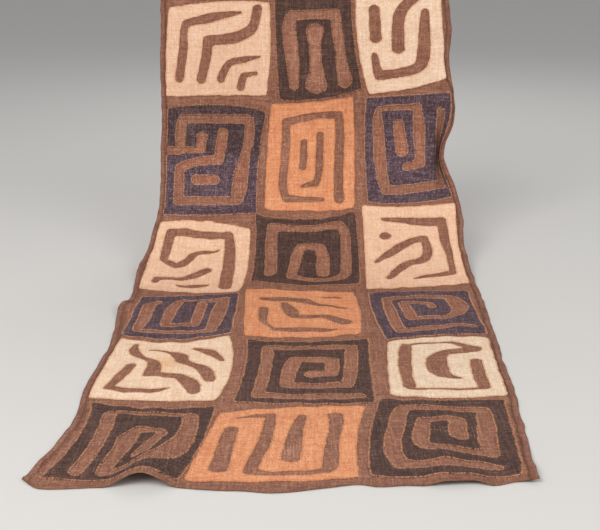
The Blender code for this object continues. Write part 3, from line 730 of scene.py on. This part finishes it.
# The patch's flat mesh, cut along its outline and cut-outs, and its edge loops
def cutPatch(row, column, corners, bows):
    width, length = (corners[1][0] - corners[0][0]) * mm, (corners[2][1] - corners[0][1]) * mm
    spare = 0.006
    pitch = patchLook["finePitch" if (row, column) == (2, "right") else "pitch"]
    columns, rows = round((width + 2 * spare) / pitch), round((length + 2 * spare) / pitch)
    bm = bmesh.new()
    bmesh.ops.create_grid(bm, x_segments=columns, y_segments=rows, size=1.0)
    places = np.array([vert.co[:2] for vert in bm.verts])
    u = 0.5 + places[:, 0] * (0.5 + spare / width)
    v = 0.5 + places[:, 1] * (0.5 + spare / length)
    x, t, inside = patchField(row, column, corners, bows, u, v)
    for vert, px, pt, depth in zip(bm.verts, x, t, inside):
        vert.co = (px, pt, depth)
    bmesh.ops.triangulate(bm, faces=bm.faces[:])
    for level in (0.0, patchLook["rimIn"], patchLook["turnIn"]):
        bmesh.ops.bisect_plane(bm, geom=bm.verts[:] + bm.edges[:] + bm.faces[:], dist=0.00005,
                               plane_co=(0, 0, level), plane_no=(0, 0, 1), clear_inner=level == 0.0)
    bmesh.ops.remove_doubles(bm, verts=bm.verts[:], dist=0.0003)
    bmesh.ops.dissolve_degenerate(bm, edges=bm.edges[:], dist=0.00005)
    loose = [vert for vert in bm.verts if not vert.link_faces]
    bmesh.ops.delete(bm, geom=loose, context="VERTS")
    bmesh.ops.triangulate(bm, faces=bm.faces[:])
    bm.verts.index_update()
    flat = np.array([vert.co for vert in bm.verts])
    faces = [tuple(vert.index for vert in face.verts) for face in bm.faces]
    upward = [face.normal.z > 0 for face in bm.faces]
    faces = [face if up else face[::-1] for face, up in zip(faces, upward)]
    following = {}
    for edge in bm.edges:
        if edge.is_boundary:
            loop = edge.link_loops[0]
            ends = [loop.vert.index, loop.link_loop_next.vert.index]
            if loop.face.normal.z < 0:
                ends.reverse()
            following.setdefault(ends[0], []).append(ends[1])
    bm.free()
    loops = []
    while following:
        here = next(iter(following))
        chain = []
        while here in following:
            chain.append(here)
            onwards = following[here].pop()
            if not following[here]:
                del following[here]
            here = onwards
        loops.append(flat[chain][:, :2])
    return flat, faces, [chain for chain in loops if len(chain) > 8]


# Whip stitches, made flat and laid on the drape with the cloth
sewing = {
    "pitch": 0.0044,
    "onGround": 0.0013,
    "onPatch": 0.0024,
    "slant": 0.0011,
    "thick": 0.00042,
    "uneven": 0.35,
    "missing": 0.06,
}


# Places along a closed loop at this pitch, with the direction of the loop at each
def alongLoop(chain, pitch, draw):
    closed = np.vstack([chain, chain[:1]])
    steps = np.linalg.norm(np.diff(closed, axis=0), axis=1)
    reach = np.concatenate([[0.0], np.cumsum(steps)])
    count = max(int(reach[-1] / pitch), 3)
    wanted = (np.arange(count) + draw.uniform(-0.25, 0.25, count)) * reach[-1] / count % reach[-1]
    places = np.stack([np.interp(wanted, reach, closed[:, k]) for k in (0, 1)], axis=-1)
    ahead = np.stack([np.interp((wanted + 0.004) % reach[-1], reach, closed[:, k]) for k in (0, 1)], axis=-1)
    behind = np.stack([np.interp((wanted - 0.004) % reach[-1], reach, closed[:, k]) for k in (0, 1)], axis=-1)
    heading = ahead - behind
    heading /= np.maximum(np.linalg.norm(heading, axis=1, keepdims=True), 1e-9)
    return places, heading


# Tubes through rows of (x, t, height) centres, each ring square to its tube: points and faces
def flatTubes(centres, radii, sides, flatTurn=0.0):
    count, rings = centres.shape[:2]
    run = np.gradient(centres, axis=1)
    run /= np.maximum(np.linalg.norm(run, axis=2, keepdims=True), 1e-9)
    sideways = np.cross(run, np.array([0.0, 0.0, 1.0]))
    sideways /= np.maximum(np.linalg.norm(sideways, axis=2, keepdims=True), 1e-9)
    upright = np.cross(sideways, run)
    points = np.empty((count, rings, sides, 3))
    for k in range(sides):
        angle = 2 * math.pi * k / sides + flatTurn
        points[:, :, k] = centres + radii[..., None] * (math.cos(angle) * sideways + math.sin(angle) * upright)
    faces = []
    for n in range(count):
        base = n * rings * sides
        for ring in range(rings - 1):
            for k in range(sides):
                a, b = base + ring * sides + k, base + ring * sides + (k + 1) % sides
                faces.append((a, b, b + sides, a + sides))
        faces.append(tuple(base + k for k in reversed(range(sides))))
        faces.append(tuple(base + (rings - 1) * sides + k for k in range(sides)))
    return points.reshape(-1, 3), faces


# One joined piece of the small slanted stitches over a patch's edges
def sewStitches(name, loops, material, seed):
    draw = np.random.default_rng(seed)
    centres, radii = [], []
    for chain in loops:
        places, heading = alongLoop(chain, sewing["pitch"], draw)
        kept = draw.random(len(places)) > sewing["missing"]
        places, heading = places[kept], heading[kept]
        outward = np.stack([heading[:, 1], -heading[:, 0]], axis=-1)  # towards the bare ground
        vary = 1 + sewing["uneven"] * draw.uniform(-1, 1, (2, len(places), 1))
        lean = sewing["slant"] * draw.uniform(0.4, 1.6, (len(places), 1)) * heading
        foot = places + outward * sewing["onGround"] * vary[0] - lean
        brow = places + outward * 0.0001
        tip = places - outward * sewing["onPatch"] * vary[1] + lean
        middle = (brow * 2 + tip) / 3
        heights = (ground["front"] + 0.0001, patchLook["edgeHeight"] + 0.0004, patchLook["rimHeight"] + 0.0002,
                   patchLook["topHeight"] + 0.0001)
        rings = [np.column_stack([place, np.full(len(place), height)])
                 for place, height in zip((foot, brow, middle, tip), heights)]
        centres.append(np.stack(rings, axis=1))
        thick = sewing["thick"] * draw.uniform(0.75, 1.25, (len(places), 1))
        radii.append(thick * np.array([[0.5, 1.0, 1.0, 0.5]]))
    points, faces = flatTubes(np.concatenate(centres), np.concatenate(radii), 3, math.pi / 2)
    placed = drapedPoints(points[:, 0], points[:, 1], points[:, 2])
    return addPiece(name, placed, faces, points[:, :2], {}, material)


# Painted shade beside the edging's seams and along the hem: how dark, and how far it reaches
paintedShade = {"seam": (0.5, 0.005), "hem": (0.25, 0.02)}


# The ground cloth's colour, which is lighter inside some patches and greyer in places, with painted shade beside
# the edging's seams, along the hem and in the bend at the right side
def groundTint(x, t):
    tint = np.ones(np.shape(x) + (3,))
    for cx, ct, reach, strength, colour in groundBlots:
        blot = strength * bell(np.hypot(x - cx * mm, t - ct * mm) / (reach * mm))
        tint = tint * (1 - blot[..., None]) + np.array(colour) * blot[..., None]
    seam = np.minimum(*np.abs(insideEdging(x, t)))
    # painted shade darkens the ground beside the edging's seams and along the hem
    for (dark, reach), away in ((paintedShade["seam"], seam), (paintedShade["hem"], t - onCurve(hemRows, 1, x))):
        tint = tint * (1 - dark * bell(away / reach))[..., None]
    # painted shade in the bend at the right side
    return tint * (1 - grooveShade(x, t))[..., None]


# Painted shade in the bend at the right side: where it is deepest, how far it reaches and how dark it gets
grooveLook = {"middle": 0.4, "reach": 0.45, "shade": 0.45}  # in shares of the curled width


# How much painted shade a place gets in the bend at the right side, by how deep it lies there
def grooveShade(x, t):
    share = (x - drape["curlX"]) / drape["curlCloth"]
    deep = bell((share - grooveLook["middle"]) / grooveLook["reach"])
    return grooveLook["shade"] * deep * bell((t - drape["curlT"]) / drape["curlHalfLength"])


# Lighter and greyer places of the ground cloth, in millimetres: x, t, reach, strength, tint
groundBlots = [
    (43, 1420, 130, 0.9, (1.42, 1.46, 1.5)),
    (-190, 1170, 150, 0.8, (1.35, 1.22, 1.18)),
    (248, 1200, 150, 0.8, (1.35, 1.22, 1.18)),
    (18, 935, 150, 0.7, (1.3, 1.25, 1.2)),
    (-220, 650, 150, 0.8, (1.2, 1.12, 1.1)),
    (248, 650, 150, 0.8, (1.2, 1.12, 1.1)),
    (12, 390, 150, 0.7, (1.25, 1.2, 1.15)),
    (-210, 1262, 60, 0.4, (0.85, 0.9, 0.95)),
    (-38, 1180, 60, 0.8, (1.45, 1.5, 1.6)),
    (10, 1265, 50, 0.6, (1.3, 1.35, 1.42)),
    (-62, 595, 45, 0.7, (1.35, 1.45, 1.5)),
    (-6, 92, 42, 0.7, (1.4, 1.5, 1.55)),
]


def makeGround():
    wide, close = ground["columns"]
    shares = np.concatenate([np.linspace(0.0, 0.9, wide), np.linspace(0.9, 1.0, close)[1:]])
    columns, rows = len(shares), ground["rows"]
    across, along = np.meshgrid(shares, np.linspace(0, 1, rows))
    x, t = (part.ravel() for part in groundPlace(across, along))
    left, right = sidesAt(t)
    toSide = np.minimum(x - left, right - x)
    toHem = t - onCurve(hemRows, 1, x)
    edge = np.minimum(np.minimum(toSide, toHem), drape["clothLength"] - t)
    hem = ground["hemRise"] * (1 - smoothStep((toHem / ground["hemWidth"] - 0.8) / 0.4))
    top = ground["front"] - ground["edgeRound"] * (edge < 0.0005) + hem
    marks = {"edge": np.maximum(edge, 0.0), "tint": groundTint(x, t)}
    piece = closedSheet("groundCloth", np.column_stack([x, t]), gridFaces(columns, rows), top, ground["back"],
                        marks, clothMaterials["ground"])
    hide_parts("ground_cloth")
    return piece


edging = {
    "waver": 0.0004,
    "fray": 0.0004,
    "lift": 0.0014,
    "height": 0.0022,
    "roll": 0.0007,
    "edgeDrop": 0.0006,
    "overhang": 0.0005,  # past the ground cloth's side
    "endGap": 0.0015,  # share of its length that it stops short of the cloth's ends
    "columns": 6,
    "rows": 400,
    "weaveTurn": 0.02,
}


def makeEdging(side):
    lengthwise = np.linspace(edging["endGap"], 1 - edging["endGap"], edging["rows"])
    across, along = np.meshgrid(np.linspace(0, 1, edging["columns"]), lengthwise)
    t = along * drape["clothLength"]
    left, right = sidesAt(t)
    inner = onCurve(edgingRows, 1 if side == "left" else 2, t)
    for depth, wave, seed in ((edging["waver"], 0.05, 31), (edging["fray"], 0.008, 32)):
        inner = inner + depth * softNoise(t, t * 0, wave, seed)
    if side == "left":
        x = left - edging["overhang"] + across * inner
    else:
        x = right + edging["overhang"] - (1 - across) * inner
    t = t + onCurve(hemRows, 1, x) * (1 - smoothStep(t / ground["hemFade"]))
    outer = 1 - across if side == "left" else across
    top = edging["height"] + edging["roll"] * np.sin(outer * math.pi) ** 0.5
    top = top - edging["edgeDrop"] * ((across == 0) | (across == 1))
    edge = np.minimum(across, 1 - across) * inner
    marks = {"edge": edge.ravel(), "tint": np.ones((t.size, 3))}
    name = "edging" + side.capitalize()
    flat, faces = np.column_stack([x.ravel(), t.ravel()]), gridFaces(edging["columns"], edging["rows"])
    material = clothMaterials["edging"]
    piece = closedSheet(name, flat, faces, top.ravel(), edging["lift"], marks, material,
                        edging["weaveTurn"])
    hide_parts("edging_" + side)
    return piece


# Patches that are dyed in two tones: where the upper tone starts, in tenths, and its tint
twoTones = {(2, "left"): (5.7, (0.80, 0.76, 0.66))}

# Patches cut from a yellower length of cream cloth than the rest: their tints
creamTones = {
    (1, "left"): (1.0, 1.02, 1.05),
    (1, "right"): (1.0, 1.12, 1.2),
    (5, "left"): (0.98, 1.1, 1.15),
    (5, "right"): (0.98, 1.16, 1.24),
}

# Stained and faded places on the patches, in millimetres: x, t, reach, strength, tint
patchBlots = [
    (-225, 400, 45, 0.7, (0.93, 0.76, 0.55)),
    (-190, 1130, 60, 0.5, (1.35, 1.35, 1.4)),
    (240, 1180, 60, 0.3, (1.3, 1.3, 1.4)),
]


def patchTint(row, column, corners, x, t):
    tint = np.ones(np.shape(x) + (3,)) * np.array(creamTones.get((row, column), (1.0, 1.0, 1.0)))
    if (row, column) in twoTones:
        start, tone = twoTones[row, column]
        along = (t / mm - corners[0][1]) / (corners[2][1] - corners[0][1]) * 10
        share = smoothStep((along - start) / 0.15)[..., None]
        tint = tint * (1 - share) + np.array(tone) * share
    for cx, ct, reach, strength, colour in patchBlots:
        blot = strength * bell(np.hypot(x - cx * mm, t - ct * mm) / (reach * mm))[..., None]
        tint = tint * (1 + blot * (np.array(colour) - 1))
    # painted shade in the bend at the right side darkens the patches there too
    return tint * (1 - grooveShade(x, t))[..., None]


def makePatch(row, column, cloth, corners, bows):
    flat, faces, loops = cutPatch(row, column, corners, bows)
    depth = flat[:, 2]
    rim, turn = patchLook["rimIn"], patchLook["turnIn"]
    rise = smoothStep(depth / rim) * (patchLook["rimHeight"] - patchLook["edgeHeight"])
    fall = smoothStep((depth - rim) / (turn - rim)) * (patchLook["rimHeight"] - patchLook["topHeight"])
    top = patchLook["edgeHeight"] + rise - fall
    draw = random.Random(row * 10 + len(column))
    tint = patchTint(row, column, corners, flat[:, 0], flat[:, 1]) * draw.uniform(0.97, 1.03)
    marks = {"edge": np.maximum(depth, 0.0), "tint": tint}
    name = f"patchRow{row}{column.capitalize()}"
    piece = closedSheet(name, flat[:, :2], faces, top, patchLook["lift"], marks, clothMaterials[cloth],
                        draw.uniform(-0.05, 0.05))
    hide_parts(f"patch_row{row}_{column}")
    dark = cloth in ("black", "indigo")
    stitches = sewStitches(f"stitchesRow{row}{column.capitalize()}", loops, threads["tan" if dark else "cream"],
                           row * 7 + len(column))
    print("patch", row, column, len(piece.data.polygons), "stitches", len(stitches.data.polygons))
    return piece


makeGround()
print("ground cloth laid")
for edgingSide in ("left", "right"):
    makeEdging(edgingSide)
print("edging strips laid")
for patchRow in patchRows:
    makePatch(*patchRow[:3], patchRow[3:7], patchRow[7])
print("patches sewn on")

# The floor, the light and the camera
studio = {
    "floorSize": 60.0,
    "floorColour": (204, 201, 196),
    "cameraPlace": (0.006, -1.796, 0.718),
    "cameraTilt": 71.96,  # degrees from straight down
    "lens": 63.0,
    "worldColour": (235, 236, 240),
    "worldStrength": 0.54,
}
lamps = [  # name, place, aimed at, size, power in watts
    ("keyLight", (-1.4, -2.2, 2.45), (0.0, -0.1, 0.2), 1.8, 85.0),
    ("fillLight", (2.2, -2.0, 1.9), (0.0, 0.0, 0.2), 2.2, 39.0),
    ("backLight", (0.4, 2.6, 2.4), (0.0, 0.3, 0.3), 1.6, 18.0),
]


def makeStudio():
    bpy.ops.mesh.primitive_plane_add(size=studio["floorSize"])
    floor = bpy.context.object
    floor.name = "studioFloor"
    material = bpy.data.materials.new("paleFloor")
    material.use_nodes = True
    shader = material.node_tree.nodes["Principled BSDF"]
    shader.inputs["Base Color"].default_value = screenColour(*studio["floorColour"])
    shader.inputs["Roughness"].default_value = 0.85
    floor.data.materials.append(material)
    world = bpy.data.worlds.new("studioWorld")
    world.use_nodes = True
    sky = world.node_tree.nodes["Background"]
    sky.inputs["Color"].default_value = screenColour(*studio["worldColour"])
    sky.inputs["Strength"].default_value = studio["worldStrength"]
    bpy.context.scene.world = world
    for name, place, aim, size, power in lamps:
        data = bpy.data.lights.new(name, "AREA")
        data.size, data.energy = size, power
        lamp = bpy.data.objects.new(name, data)
        lamp.location = place
        lamp.rotation_euler = (Vector(aim) - Vector(place)).to_track_quat("-Z", "Y").to_euler()
        bpy.context.scene.collection.objects.link(lamp)
    data = bpy.data.cameras.new("photoCamera")
    data.lens, data.sensor_width = studio["lens"], 36.0
    camera = bpy.data.objects.new("photoCamera", data)
    camera.location = studio["cameraPlace"]
    camera.rotation_euler = (math.radians(studio["cameraTilt"]), 0.0, 0.0)
    bpy.context.scene.collection.objects.link(camera)
    bpy.context.scene.camera = camera
    bpy.context.scene.view_settings.view_transform = "Standard"


makeStudio()
print("studio set")
